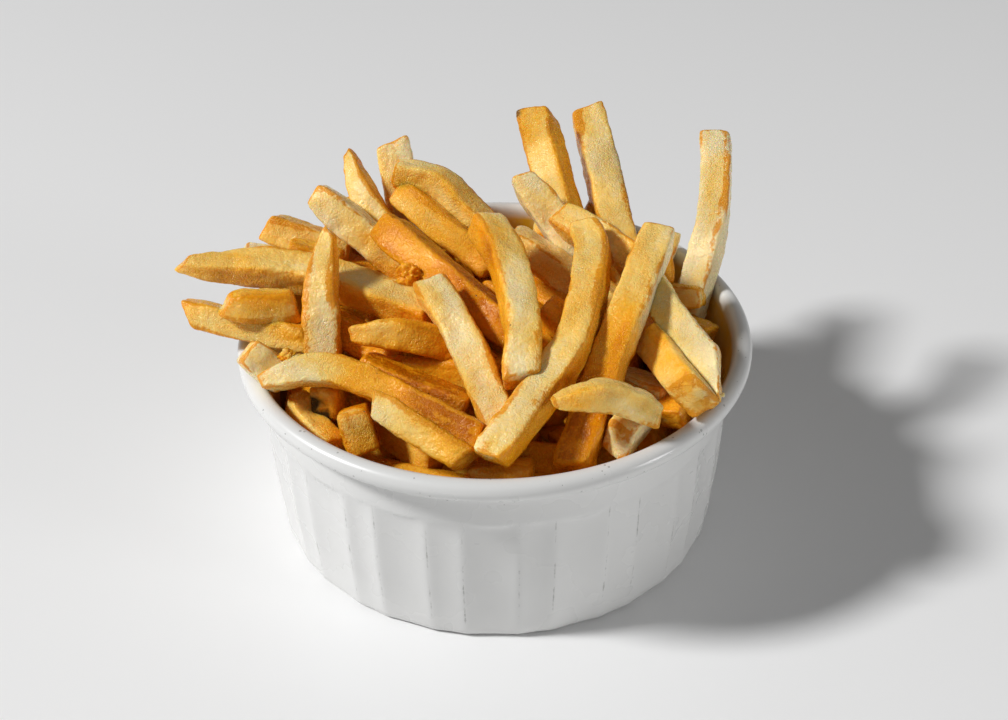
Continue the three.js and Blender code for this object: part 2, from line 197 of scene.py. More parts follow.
# the core below the bed: (radius, height) from its foot to its top
CORE_RINGS = [(20, 6.6), (49, 7.4), (54, 11), (55.6, 24), (56.4, 36), (50, 40), (36, 43), (18, 46), (6, 47)]
CORE_SIDES = 64
CORE_FINENESS = 2
CORE_BROWN = 0.5
CORE_ROUGH_FROM = (33, 40)  # heights between which the roughness of its top sets in
CORE_ROUGH = (0.13, 1.6)  # waves per millimetre, and height

# dark blemishes: (the fry, centre, radius in millimetres, strength)
SCORCHES = [
    ("fries_in_front_2", (-45.4, -32.4, 55.6), 3, 0.85),
    ("fries_in_front_2", (-44.6, -32.6, 52.8), 4.4, 1.3),
    ("fries_in_front_2", (-43, -32.8, 50.2), 4.2, 1.3),
    ("fries_in_front_12", (50.5, -43, 60), 6.5, 0.32),
    ("fries_at_the_back_1", (5.6, 65, 83.6), 4, 0.75),
    ("fries_at_the_back_1", (10, 65.6, 86.2), 2.4, 0.5),
]
SCORCH_DARKEST = 0.35  # share of its radius
SCORCH_RAGGED = (0.45, 1.6)  # waves per millimetre in a blemish's outline, and how far they reach

# loose crumbs: (centre, radius in millimetres, how far it is stretched each way, brownness)
CRUMBS = [
    ((-21, 1.5, 69), 3, (1.35, 0.8, 0.9), 0.82),
    ((-50, -25.5, 63.4), 1.7, (1.25, 1, 0.7), 0.5),
    ((-47.8, -26, 63.2), 1.1, (1.25, 1, 0.7), 0.35),
    ((-25, 41.6, 73.4), 2, (1.1, 0.8, 0.9), 0.8),
    ((53.8, -39.1, 60.3), 0.5, (1, 1, 1), -0.6),
]
# lumps of a crumb: (waves per radius, height as a share of the radius)
CRUMB_LUMPS = ((1, 0.5), (2.6, 0.34), (6, 0.16))
CRUMB_FINENESS = 5
CRUMB_EDGE = 0.5
CRUMB_MOTTLE = (0.5, 0.5)  # waves per millimetre, and strength

# ---- how a fry is shaped, in millimetres ----

SQUARENESS = 5  # exponent of the section: 2 is round, higher is squarer
CROWDING = 0.5  # how much the sides of a blank draw together at its four edges
SLANT = 0.55  # steepest slope of a cut end that is left to chance
SLANT_REACH = 1.75  # length over which a slanted end dies away, as a share of its fall
LEAST_REACH = 6
PLUMP = 1.05  # swells the rounded section to fill its outline
HOLLOW = 0.05  # how far the middle of a cut face has sunk, as a share of the half width
UNEVEN = 0.06  # slow swelling and thinning along a fry
SLOW_WAVE = 16  # length of that swelling, and of the twist
TWIST = math.radians(7)
LUMPS = ((0.1, 0.4), (0.28, 0.3), (0.7, 0.13), (1.4, 0.08))  # (waves per millimetre, height)
APART = np.array([7.3, 3.1, 11.7])  # from one fry to the next in the noise, so that no two are alike
END_ROUND = 3.2  # length at either end that keeps its rings when the blank is stretched
# (radius, distance from the end) of the rings that round an end off, in the blank's units
END_RINGS = [(0.3, 0), (0.6, 0), (0.82, 0.06), (0.93, 0.26), (0.98, 0.6), (1, 1.15), (1, 1.7), (1, 2.4)]
FINE = (60, 0.62)  # sides, and length of a ring
COARSE = (28, 1.5)
CURVE_STEPS = 24  # samples of a fry's middle between two of its points

# ---- how a fry is browned ----

FACE_CONTRAST = 0.16  # how much browner one face of a fry may be than the next
LENGTHWISE = 0.4  # how much the browning is drawn out along a fry
FACE_STEPS = (37.7, 2.4)  # from fry to fry, and from face to face, in the wave that sets them apart
FACE_SHARPNESS = 6  # how sharply the brownness of one face gives way to the next
END_BROWN = 0.25  # share of the length that keeps the brownness of its end
PATCHES = (0.13, 0.3, 40)  # waves per millimetre, strength, and shift from the other noises
MOTTLE = (0.4, 0.14, 90)
HEAP_TOP = 77  # painted shade: the fries are deeper in colour the further they lie under a dome of this height, where the fries above shade them
HEAP_FALL = 20  # how much lower the dome is over the rim
HEAP_RADIUS = 60
PAINTED_SHADE_DEPTHS = (3, 17)  # depths under the dome where the painted shade begins and is full
# how much browner the painted shade makes a place, and the brownness it takes no place past
PAINTED_SHADE_DEEPENING = 0.22
PAINTED_SHADE_DEEPEST = 0.66
EDGE_INNER = (0.66, 0.7)  # how near a corner the golden edge begins, and how much that wanders
EDGE_FADE = 0.3
END_EDGE = (0.6, 0.98)  # share of the section where the golden edge of a cut end begins and is full
EDGE_TAPER = (0.2, 0.9)  # share of the section where any golden edge begins and is full
EDGE_STRENGTH = (0.9, 0.7)  # evenly, and by the patches
TIP_REACH = 7  # length over which a tip is browner
TIP_STRENGTH = (0.5, 0.6)  # in all, and evenly beside the mottle
MOST_EDGE = 1.4


# ---- modelling ----


def deselect():
    if bpy.context.object and bpy.context.object.mode != "OBJECT":
        bpy.ops.object.mode_set(mode="OBJECT")
    bpy.ops.object.select_all(action="DESELECT")


def joined(pieces, name):
    """The pieces as one."""
    deselect()
    for piece in pieces:
        piece.select_set(True)
    bpy.context.view_layer.objects.active = pieces[0]
    bpy.ops.object.join()
    pieces[0].name = name
    return pieces[0]


def drawn_out(name, sides, rings):
    """A closed form: a disc at the first (radius, height), drawn out ring by ring to a disc at the last."""
    deselect()
    radius, height = rings[0]
    bpy.ops.mesh.primitive_circle_add(
        vertices=sides, radius=radius * MM, fill_type="NGON", location=(0, 0, height * MM)
    )
    piece = bpy.context.object
    piece.name = name
    bpy.ops.object.transform_apply(location=True)
    bpy.ops.object.mode_set(mode="EDIT")
    bpy.ops.mesh.select_all(action="SELECT")
    for (r0, z0), (r1, z1) in zip(rings, rings[1:]):
        bpy.ops.mesh.extrude_region_move(TRANSFORM_OT_translate={"value": (0, 0, (z1 - z0) * MM)})
        bpy.ops.transform.resize(value=(r1 / r0, r1 / r0, 1), center_override=(0, 0, z1 * MM))
    bpy.ops.mesh.select_all(action="SELECT")
    bpy.ops.mesh.normals_make_consistent(inside=False)
    bpy.ops.object.mode_set(mode="OBJECT")
    bpy.ops.object.shade_smooth()
    return piece


def places(mesh):
    """The mesh's points in millimetres."""
    flat = np.empty(3 * len(mesh.vertices))
    mesh.vertices.foreach_get("co", flat)
    return flat.reshape(-1, 3) / MM


def set_places(mesh, points):
    mesh.vertices.foreach_set("co", (np.asarray(points) * MM).ravel())
    mesh.update()


def set_value(mesh, name, values):
    attribute = mesh.attributes.get(name) or mesh.attributes.new(name, "FLOAT", "POINT")
    attribute.data.foreach_set("value", np.asarray(values, np.float32))


def set_own(mesh, points):
    """Places in millimetres that belong to the piece itself, for textures that follow it."""
    attribute = mesh.attributes.new("own", "FLOAT_VECTOR", "POINT")
    attribute.data.foreach_set("vector", np.asarray(points, np.float32).ravel())


def smooth_step(low, high, x):
    t = np.clip((x - low) / (high - low), 0, 1)
    return t * t * (3 - 2 * t)


def unit(v):
    return v / np.linalg.norm(v, axis=-1, keepdims=True)


def waves(points, per_mm, shift):
    """Smooth random vectors at points, from about -1 to 1."""
    scaled = points * per_mm + shift
    return np.array([noise.noise_vector(q) for q in scaled])


# ---- the ramekin ----


def scallop_depths():
    """How far the wall lies inside its ridges at each step of one repeat, the ridges rounded by glaze."""
    wide = np.arange(WIDE_STEPS) / WIDE_STEPS
    narrow = np.arange(NARROW_STEPS) / NARROW_STEPS
    depth = np.concatenate(
        [WIDE_DEPTH * 4 * wide * (1 - wide), NARROW_DEPTH * 4 * narrow * (1 - narrow)]
    )
    return 0.5 * depth + 0.25 * (np.roll(depth, 1) + np.roll(depth, -1))


def flute_angles():
    pitch = 2 * math.pi / FLUTE_REPEATS
    wide = WIDE_SHARE * pitch
    one = np.concatenate(
        [
            np.arange(WIDE_STEPS) / WIDE_STEPS * wide,
            wide + np.arange(NARROW_STEPS) / NARROW_STEPS * (pitch - wide),
        ]
    )
    return np.concatenate([WIDE_CENTRE - wide / 2 + k * pitch + one for k in range(FLUTE_REPEATS)])


def make_ramekin():
    sides = FLUTE_REPEATS * (WIDE_STEPS + NARROW_STEPS)
    dish = drawn_out("ramekin_glazed", sides, RAMEKIN_PROFILE)
    p = places(dish.data)
    height = p[:, 2]
    radius = np.hypot(p[:, 0], p[:, 1])
    step = np.rint(np.arctan2(p[:, 1], p[:, 0]) / (2 * math.pi) * sides).astype(int) % sides
    angle = flute_angles()[step]
    depth = np.tile(scallop_depths(), FLUTE_REPEATS)[step]
    top = FLUTE_TOP - FLUTE_ARCH * depth / WIDE_DEPTH
    share = np.sqrt(1 - (1 - np.clip((top - height) / FLUTE_SPOON, 0, 1)) ** 2)
    share *= FOOT_SCALLOP + (1 - FOOT_SCALLOP) * smooth_step(*FOOT_GROWTH, height)
    core_radius, core_slope = WALL_CORE
    outside = (radius > core_radius + core_slope * height) & (height < FLUTE_TOP + 1)
    radius = radius - np.where(outside, depth * share, 0)
    set_places(dish.data, np.stack([radius * np.cos(angle), radius * np.sin(angle), height], 1))
    mark_glaze(dish.data, step, outside, radius, height)
    return dish


def mark_glaze(mesh, step, outside, radius, height):
    """Where the glaze is thin along the ridges, worn or dirty, and where a golden reflection and bounce light
    of the fries is painted on the inner wall.
    """
    cusp = np.zeros(WIDE_STEPS + NARROW_STEPS)
    cusp[[0, WIDE_STEPS]] = 1
    ridge = np.tile(cusp, FLUTE_REPEATS)[step] * outside * smooth_step(*RIDGE_GROWTH, height)
    set_value(mesh, "ridge", ridge)
    crown = smooth_step(*CROWN_RADII, radius) * smooth_step(*CROWN_HEIGHTS, height)
    groove = smooth_step(*GROOVE_REACH, np.abs(height - GROOVE_HEIGHT)) * (radius > GROOVE_RADIUS)
    set_value(mesh, "wear", np.maximum(CROWN_WEAR * crown, GROOVE_WEAR * groove))
    face_radius, face_height = np.array(INNER_FACE, float).T
    inside = (radius < np.interp(height, face_height, face_radius)) & (height > UNDER_FLOOR)
    # painted reflection and shade: the inner wall under the rim takes the golden colour of the fries around
    # it
    set_value(mesh, "painted_reflection_mask", inside * smooth_step(*PAINTED_REFLECTION_HEIGHTS, height))


# ---- fries ----

blanks = {}


def fry_blank(sides, rings):
    """A plain round stick with rounded ends, one unit in radius, kept for every fry of about that length."""
    if (sides, rings) not in blanks:
        length = 2 * END_ROUND + rings - 1
        middle = [(1, END_ROUND + k) for k in range(rings)]
        end = [(r, length - z) for r, z in reversed(END_RINGS)]
        blanks[sides, rings] = drawn_out("blank", sides, END_RINGS + middle + end)
    return blanks[sides, rings]


def curve_through(points):
    """Samples of a smooth curve through the points, and the length run at each."""
    p = [np.array(q, float) for q in points]
    knots = [2 * p[0] - p[1], *p, 2 * p[-1] - p[-2]]
    samples = []
    for a, b, c, d in zip(knots, knots[1:], knots[2:], knots[3:]):
        bend = 2 * a - 5 * b + 4 * c - d
        swing = 3 * b - a - 3 * c + d
        for t in np.arange(CURVE_STEPS) / CURVE_STEPS:
            samples.append(0.5 * (2 * b + (c - a) * t + bend * t**2 + swing * t**3))
    samples.append(p[-1])
    samples = np.array(samples)
    gaps = np.linalg.norm(np.diff(samples, axis=0), axis=1)
    return samples, np.concatenate([[0], np.cumsum(gaps)])


def stretched(height, length, rings):
    """How far along the fry a height on its blank comes: the ends keep their rings, the rest is stretched."""
    full = 2 * END_ROUND + rings - 1
    stretch = (length - 2 * END_ROUND) / (rings - 1)
    rest = END_ROUND + (height - END_ROUND) * stretch
    beyond = np.where(height > full - END_ROUND, length - (full - height), rest)
    return np.where(height < END_ROUND, height, beyond)


def squared(bearing):
    """A point of the squarish section, two units wide, for each bearing on the round blank."""
    bearing = bearing + CROWDING / 4 * np.sin(4 * bearing)
    cos, sin = np.cos(bearing), np.sin(bearing)
    square = (np.abs(cos) ** SQUARENESS + np.abs(sin) ** SQUARENESS) ** (-1 / SQUARENESS)
    return square * cos, square * sin


def chance_cut(index, end):
    """The slopes of an end that is cut anyhow."""
    drawn = noise.noise_vector(Vector((0.5, 3.7 * index, 0.2 + 9 * end)))
    return [SLANT * min(max(1.6 * v, -1), 1) for v in drawn[:2]]


def slanted(s, length, wide, thick, fullness, slopes):
    """The places along a fry with both ends cut at their slopes.

    wide and thick each hold the share across the section, from -1 to 1, and the section's whole size.
    """
    for near, sign, (a, b) in ((s, 1, slopes[0]), (length - s, -1, slopes[1])):
        fall = abs(a) * wide[1] + abs(b) * thick[1]
        dying = smooth_step(max(SLANT_REACH * fall, LEAST_REACH), 0, near)
        s = s + sign * dying * ((a * wide[0] * wide[1] + b * thick[0] * thick[1]) * fullness + fall) / 2
    return np.clip(s, 0, length)


def section_ways(samples, run, s, angle):
    """The ways across and over a fry at each place along it, turned by the angle."""
    ways = unit(np.gradient(samples, axis=0))
    way = unit(np.stack([np.interp(s, run, ways[:, k]) for k in range(3)], 1))
    side = unit(np.cross(way, (0, 0, 1)))
    up = np.cross(side, way)
    cos, sin = np.cos(angle)[:, None], np.sin(angle)[:, None]
    return side * cos + up * sin, up * cos - side * sin


def grown(distance, taper):
    """Share of the full section at a distance from an end."""
    share, reach = taper
    return share + (1 - share) * np.sqrt(np.clip(distance / reach, 0, 1))


def asked_brownness(brown, index, s, length, y, z):
    """The brownness that a row asks for at each place, painted shade included, without the patches."""
    tones = np.atleast_1d(brown)
    if len(tones) == 4:
        faces, along = tones, 0
    else:
        by_fry, by_face = FACE_STEPS
        faces = np.array([math.sin(by_fry * index + by_face * k) for k in range(4)]) * FACE_CONTRAST
        along = np.interp(s, (END_BROWN * length, (1 - END_BROWN) * length), (tones[0], tones[-1]))
    facing = np.stack([y, z, -y, -z], 1).clip(0, 1) ** FACE_SHARPNESS
    return along + (facing * faces).sum(1) / facing.sum(1)


def brown_fry(mesh, asked, own, shift, place, corner, round_size, from_end):
    """How brown each place is, real browning together with painted shade, and how golden the cut edges and
    the tips are.
    """
    patch_waves, patch_strength, patch_shift = PATCHES
    mottle_waves, mottle_strength, mottle_shift = MOTTLE
    broad = waves(own, patch_waves, shift + patch_shift)
    patches = broad[:, 0]
    mottle = waves(own, mottle_waves, shift + mottle_shift)[:, 1]
    tone = asked + patch_strength * patches + mottle_strength * mottle
    # painted shade: deeper in colour the further a place lies under the heap's dome
    dome = HEAP_TOP - HEAP_FALL * (np.hypot(place[:, 0], place[:, 1]) / HEAP_RADIUS) ** 2
    depth = smooth_step(*PAINTED_SHADE_DEPTHS, dome - place[:, 2])
    set_value(mesh, "browning_and_painted_shade", tone + depth * np.clip(PAINTED_SHADE_DEEPEST - tone, 0, PAINTED_SHADE_DEEPENING))

    inner = EDGE_INNER[0] - EDGE_INNER[1] * broad[:, 1]
    cut_edge = smooth_step(*END_EDGE, round_size) * (from_end < 1)
    rim = np.maximum(smooth_step(0, EDGE_FADE, corner - inner), cut_edge)
    rim = rim * smooth_step(*EDGE_TAPER, round_size) * (EDGE_STRENGTH[0] + EDGE_STRENGTH[1] * patches)
    tip = TIP_STRENGTH[0] * smooth_step(TIP_REACH, 0, from_end) * (TIP_STRENGTH[1] + mottle)
    set_value(mesh, "edge", np.clip(rim + tip, 0, MOST_EDGE))


def scorches(place, name):
    """How burnt each place of the named fry is."""
    ragged_waves, ragged_reach = SCORCH_RAGGED
    found = np.zeros(len(place))
    for fry, centre, radius, strength in SCORCHES:
        if fry == name:
            away = np.linalg.norm(place - np.array(centre, float), axis=1)
            away = away + ragged_reach * waves(place, ragged_waves, np.zeros(3))[:, 0]
            found = np.maximum(found, strength * smooth_step(1, SCORCH_DARKEST, away / radius))
    return found


def make_fry(name, row, index, quality):
    points, width, thickness, turn, start, end, brown, *cuts = row
    samples, run = curve_through(points)
    length = run[-1]
    sides, ring = quality
    rings = max(4, int(round((length - 2 * END_ROUND) / ring / 6)) * 6)
    mesh = fry_blank(sides, rings).data.copy()
    fry = bpy.data.objects.new(name, mesh)
    bpy.context.scene.collection.objects.link(fry)

    p = places(mesh)
    round_size = np.hypot(p[:, 0], p[:, 1])
    y, z = squared(np.arctan2(p[:, 1], p[:, 0]))
    s = stretched(p[:, 2], length, rings)
    from_end = np.minimum(s, length - s)
    slopes = [(cuts[k] if cuts else ANYHOW) or chance_cut(index, k) for k in (0, 1)]
    s = slanted(s, length, (y, width), (z, thickness), round_size, slopes)

    shift = APART * index
    slow = np.array([noise.noise_vector(Vector((q / SLOW_WAVE, 0.3, 5.7 * index))) for q in s])
    turns = np.atleast_1d(turn)
    angle = np.radians(np.interp(s, (0, length), (turns[0], turns[-1]))) + TWIST * slow[:, 2]
    across, over = section_ways(samples, run, s, angle)
    middle = np.stack([np.interp(s, run, samples[:, k]) for k in range(3)], 1)

    corner = np.minimum(np.abs(y), np.abs(z)) / np.maximum(np.abs(y), np.abs(z)).clip(1e-6)
    sunk = 1 - HOLLOW * (1 - corner**2)
    size = np.minimum(grown(s, start), grown(length - s, end))
    half_width = PLUMP * width / 2 * size * round_size * sunk * (1 + UNEVEN * slow[:, 0])
    half_thickness = PLUMP * thickness / 2 * size * round_size * sunk * (1 + UNEVEN * slow[:, 1])
    place = middle + across * (y * half_width)[:, None] + over * (z * half_thickness)[:, None]
    for per_mm, height in LUMPS:
        place = place + height * waves(place, per_mm, shift)
    set_places(mesh, place)

    own = np.stack([LENGTHWISE * s, y * half_width, z * half_thickness], 1) + 3 * shift
    set_own(mesh, own)
    asked = asked_brownness(brown, index, s, length, y, z)
    brown_fry(mesh, asked, own, shift, place, corner, round_size, from_end)
    set_value(mesh, "scorch", scorches(place, name))
    return fry


def make_heap(name, rows, quality, first):
    """The rows' fries joined as one piece."""
    return joined([make_fry(name + "_%d" % k, row, first + k, quality) for k, row in enumerate(rows)], name)


def bed_rows(layers, seed):
    """Rows for fries that lie about in layers, turned along the wall near it and any way further in."""
    state = seed

    def draw():
        nonlocal state
        state = (state * 1664525 + 1013904223) & 0xFFFFFFFF
        return state / 2**32

    rows = []
    for count, radius, height, drop in layers:
        for k in range(count):
            r = radius * math.sqrt((k + 0.5) / count)
            a = k * GOLDEN
            free = math.pi * draw()
            half = BED_HALF[0] + BED_HALF[1] * draw()
            width = BED_WIDTH[0] + BED_WIDTH[1] * draw()
            thickness = BED_THICKNESS[0] + BED_THICKNESS[1] * draw()
            tilt = BED_TILT * (2 * draw() - 1)
            turn = BED_TURN * draw()
            swing = BED_SWING * (2 * draw() - 1)
            way = a + math.pi / 2 + swing if r > BED_FREE * radius else free
            x, y, z = r * math.cos(a), r * math.sin(a), height - drop * (r / radius) ** 2
            dx, dy = half * math.cos(way), half * math.sin(way)
            ends = ((x - dx, y - dy, z - tilt), (x + dx, y + dy, z + tilt))
            brown = BED_BROWN[0] + BED_BROWN[1] * abs(math.sin(12.9 * k + height))
            rows.append((ends, width, thickness, turn, BLUNT, BLUNT, brown))
    return rows



def make_core():
    """What fills the dish below the fries that show."""
    core = drawn_out("heap_core", CORE_SIDES, CORE_RINGS)
    deselect()
    core.select_set(True)
    bpy.context.view_layer.objects.active = core
    bpy.ops.object.modifier_add(type="SUBSURF")
    core.modifiers[0].levels = CORE_FINENESS
    core.modifiers[0].render_levels = CORE_FINENESS
    bpy.ops.object.modifier_apply(modifier=core.modifiers[0].name)
    p = places(core.data)
    per_mm, height = CORE_ROUGH
    upper = smooth_step(*CORE_ROUGH_FROM, p[:, 2])[:, None]
    set_places(core.data, p + upper * height * waves(p, per_mm, np.zeros(3)))
    set_value(core.data, "browning_and_painted_shade", np.full(len(p), CORE_BROWN))
    set_own(core.data, p)
    set_value(core.data, "edge", np.zeros(len(p)))
    set_value(core.data, "scorch", np.zeros(len(p)))
    return core


def make_crumb(centre, radius, stretched_by, brown):
    """A rough scrap of crust, as it lies on the fries."""
    deselect()
    bpy.ops.mesh.primitive_ico_sphere_add(
        subdivisions=CRUMB_FINENESS, radius=radius * MM, location=[c * MM for c in centre]
    )
    scrap = bpy.context.object
    bpy.ops.object.transform_apply(location=True)
    bpy.ops.object.shade_smooth()
    p = places(scrap.data)
    middle = np.array(centre, float)
    size = 1
    for k, (per_radius, height) in enumerate(CRUMB_LUMPS):
        size = size + height * waves(p / radius, per_radius, middle)[:, k : k + 1]
    set_places(scrap.data, middle + (p - middle) * np.array(stretched_by) * size)
    set_own(scrap.data, p)
    per_mm, strength = CRUMB_MOTTLE
    set_value(scrap.data, "browning_and_painted_shade", brown + strength * waves(p, per_mm, middle)[:, 2])
    set_value(scrap.data, "edge", np.full(len(p), CRUMB_EDGE))
    set_value(scrap.data, "scorch", np.zeros(len(p)))
    return scrap


def make_crumbs():
    return joined([make_crumb(*crumb) for crumb in CRUMBS], "crumbs")


# ---- colours, in linear red, green and blue ----

FLESH = [  # (brownness, colour)
    (0.0, (0.91, 0.75, 0.41)),
    (0.25, (0.93, 0.62, 0.17)),
    (0.5, (0.94, 0.46, 0.034)),
    (0.7, (0.86, 0.34, 0.006)),
    (0.85, (0.74, 0.25, 0.003)),
    (1.0, (0.52, 0.14, 0.001)),
]
CRUST = (0.76, 0.30, 0.006)
BURNT = (0.03, 0.018, 0.008)
SHEEN = (1, 0.86, 0.6)
GLAZE = (0.705, 0.705, 0.693)
DIRT = (0.16, 0.155, 0.14)
# painted golden reflection and bounce light of the fries on the shaded inner wall
PAINTED_REFLECTION_COLOUR = (0.74, 0.40, 0.012)
TABLE_PAINTED_FALLOFF = [(0, (0.88, 0.88, 0.88)), (1, (0.75, 0.75, 0.75))]  # painted shade: darker from the front to the back, as the light falls off
WHITE = (1, 1, 1)

# ---- textures: (waves per metre, detail, roughness) ----

STREAKS = (0.42, 5, 0.62)  # in waves per millimetre of a fry's own places
BLISTERS = (1000, 2, 0.5)
GRAIN = (2400, 2, 0.65)
GRAIN_PATCHES = (75, 1, 0.5)
POTATO_SPECKS = 115  # cells per metre
GLAZE_PATCHES = (150, 4, 0.7)
LINE_BREAKS = (900, 2, 0.5)
GLAZE_SMEARS = (60, 3, 0.5)
GLAZE_SAG = (45, 2, 0.5)
GLAZE_SPECKS = 600

# ---- how the textures are used: four numbers turn the range between the first two into the last two ----

CRUST_BY_BROWNNESS = 0.6
CRUST_BY_STREAKS = 0.55
CRUST_BY_BLISTERS = 0.25
CRUST_SETS_IN = (0.66, 1.08, 0, 0.9)
FLESH_MOTTLED = 0.05
SPECK_STRENGTH = (0.018, 0.032, 0.8, 0)  # by distance from the speck's middle
POTATO_ROUGHNESS = (0.35, 0.65, 0.16, 0.32)
STREAK_HEIGHT = 0.35
BLISTER_HEIGHT = 0.45
GRAIN_HEIGHT = (0.42, 0.6, 0.2, 0.95)
LINE_WAVERS = 0.14
LINE_WIDTH = (0.74, 0.98, 0, 1)
LINE_STRENGTH = (0.48, 0.62, 0, 0.6)
DOT_SIZE = (0.45, 0.62, 0, 0.32)
DOT_STRENGTH = 0.5
# how strong the painted reflection on the inner wall is, by the patches
PAINTED_REFLECTION_STRENGTH = (0.3, 0.6, 0.75, 1.0)
GLAZE_ROUGHNESS = (0.35, 0.65, 0.22, 0.34)
PAINTED_FALLOFF_DEPTH = (-0.2, 0.5, 0, 1)  # in metres behind the ramekin's middle, over which the painted shade darkens the table


# ---- finishes ----


class Finish:
    """A material that is being built up on its one shader."""

    def __init__(self, name):
        self.material = bpy.data.materials.new(name)
        self.material.use_nodes = True
        self.nodes = self.material.node_tree.nodes
        self.shader = self.nodes["Principled BSDF"]
        self.where = self.nodes.new("ShaderNodeTexCoord").outputs["Object"]

    def put(self, socket, value):
        """Link the socket to another node's output, or set it to a constant."""
        if isinstance(value, bpy.types.NodeSocket):
            self.material.node_tree.links.new(value, socket)
        elif socket.type == "RGBA":
            socket.default_value = (*value, 1)
        else:
            socket.default_value = value

    def node(self, kind, inputs):
        node = self.nodes.new(kind)
        for socket, value in inputs.items():
            self.put(node.inputs[socket], value)
        return node

    def attribute(self, name, output="Fac"):
        node = self.nodes.new("ShaderNodeAttribute")
        node.attribute_name = name
        return node.outputs[output]

    def noise(self, texture, where=None):
        scale, detail, roughness = texture
        inputs = {"Vector": where or self.where, "Scale": scale, "Detail": detail, "Roughness": roughness}
        return self.node("ShaderNodeTexNoise", inputs).outputs["Fac"]

    def from_speck(self, scale):
        """Distance to the nearest of many scattered points, as a share of their spacing."""
        return self.node("ShaderNodeTexVoronoi", {"Vector": self.where, "Scale": scale}).outputs["Distance"]

    def math(self, operation, a, b):
        node = self.node("ShaderNodeMath", {0: a, 1: b})
        node.operation = operation
        return node.outputs[0]

    def sum(self, a, b):
        return self.math("ADD", a, b)

    def product(self, a, b):
        return self.math("MULTIPLY", a, b)

    def ranged(self, value, low, high, to_low, to_high):
        node = self.node("ShaderNodeMapRange", {0: value, 1: low, 2: high, 3: to_low, 4: to_high})
        return node.outputs["Result"]

    def spread(self, texture, reach):
        """The usual run of a noise, spread from -reach to reach."""
        return self.ranged(texture, 0.3, 0.7, -reach, reach)

    def mixed(self, share, first, second):
        node = self.nodes.new("ShaderNodeMix")
        node.data_type = "RGBA"
        for socket, value in ((0, share), (6, first), (7, second)):
            self.put(node.inputs[socket], value)
        return node.outputs[2]

    def ramp(self, value, stops):
        node = self.node("ShaderNodeValToRGB", {"Fac": value})
        elements = node.color_ramp.elements
        while len(elements) < len(stops):
            elements.new(0.5)
        for element, (position, colour) in zip(elements, stops):
            element.position = position
            element.color = (*colour, 1)
        return node.outputs["Color"]

    def bumped(self, height, strength, distance):
        inputs = {"Height": height, "Strength": strength, "Distance": distance}
        return self.node("ShaderNodeBump", inputs).outputs["Normal"]

    def finished(self, inputs):
        for socket, value in inputs.items():
            self.put(self.shader.inputs[socket], value)
        return self.material


def potato_colour(finish, streak, blister, grain):
    """Flesh from pale to brown, browner also where shade is painted, with a golden crust on its edges and in
    streaks, specks and burnt places.
    """
    browning_and_painted_shade = finish.attribute("browning_and_painted_shade")
    crust = finish.sum(finish.attribute("edge"), finish.product(browning_and_painted_shade, CRUST_BY_BROWNNESS))
    crust = finish.sum(crust, finish.spread(streak, CRUST_BY_STREAKS))
    crust = finish.sum(crust, finish.spread(blister, CRUST_BY_BLISTERS))
    for texture in (blister, grain):
        browning_and_painted_shade = finish.sum(browning_and_painted_shade, finish.spread(texture, FLESH_MOTTLED))
    golden = finish.mixed(finish.ranged(crust, *CRUST_SETS_IN), finish.ramp(browning_and_painted_shade, FLESH), CRUST)
    speck = finish.ranged(finish.from_speck(POTATO_SPECKS), *SPECK_STRENGTH)
    return finish.mixed(finish.math("MAXIMUM", finish.attribute("scorch"), speck), golden, BURNT)


def potato_height(finish, streak, blister, grain):
    """Streaks along the fry, blisters, and a grain that is strong only in patches."""
    height = finish.sum(finish.product(streak, STREAK_HEIGHT), finish.product(blister, BLISTER_HEIGHT))
    strength = finish.ranged(finish.noise(GRAIN_PATCHES), *GRAIN_HEIGHT)
    return finish.sum(height, finish.product(grain, strength))


def fried_potato():
    finish = Finish("fried_potato")
    streak = finish.noise(STREAKS, finish.attribute("own", "Vector"))
    blister = finish.noise(BLISTERS)
    grain = finish.noise(GRAIN)
    return finish.finished(
        {
            "Base Color": potato_colour(finish, streak, blister, grain),
            "Roughness": finish.ranged(blister, *POTATO_ROUGHNESS),
            "IOR": 1.43,
            "Specular Tint": SHEEN,
            "Subsurface Weight": 0.52,
            "Subsurface Radius": (1.0, 0.6, 0.25),
            "Subsurface Scale": 0.0023,
            "Normal": finish.bumped(potato_height(finish, streak, blister, grain), 1, 0.0007),
        }
    )


def glaze_dirt(finish, patchy):
    """Broken lines along the ridges, and dots where the glaze is worn or gathers dirt."""
    ridge = finish.sum(finish.attribute("ridge"), finish.spread(finish.noise(LINE_BREAKS), LINE_WAVERS))
    line = finish.product(finish.ranged(ridge, *LINE_WIDTH), finish.ranged(patchy, *LINE_STRENGTH))
    size = finish.product(finish.attribute("wear"), finish.ranged(patchy, *DOT_SIZE))
    dot = finish.math("LESS_THAN", finish.from_speck(GLAZE_SPECKS), size)
    return finish.math("MAXIMUM", line, finish.product(dot, DOT_STRENGTH))


def white_glaze():
    finish = Finish("white_glaze")
    patchy = finish.noise(GLAZE_PATCHES)
    # painted golden reflection and bounce light of the fries on the shaded inner wall, in patches
    painted_reflection = finish.product(finish.attribute("painted_reflection_mask"), finish.ranged(patchy, *PAINTED_REFLECTION_STRENGTH))
    return finish.finished(
        {
            "Base Color": finish.mixed(painted_reflection, finish.mixed(glaze_dirt(finish, patchy), GLAZE, DIRT), PAINTED_REFLECTION_COLOUR),
            "Roughness": finish.ranged(finish.noise(GLAZE_SMEARS), *GLAZE_ROUGHNESS),
            "IOR": 1.5,
            "Normal": finish.bumped(finish.noise(GLAZE_SAG), 0.06, 0.002),
        }
    )


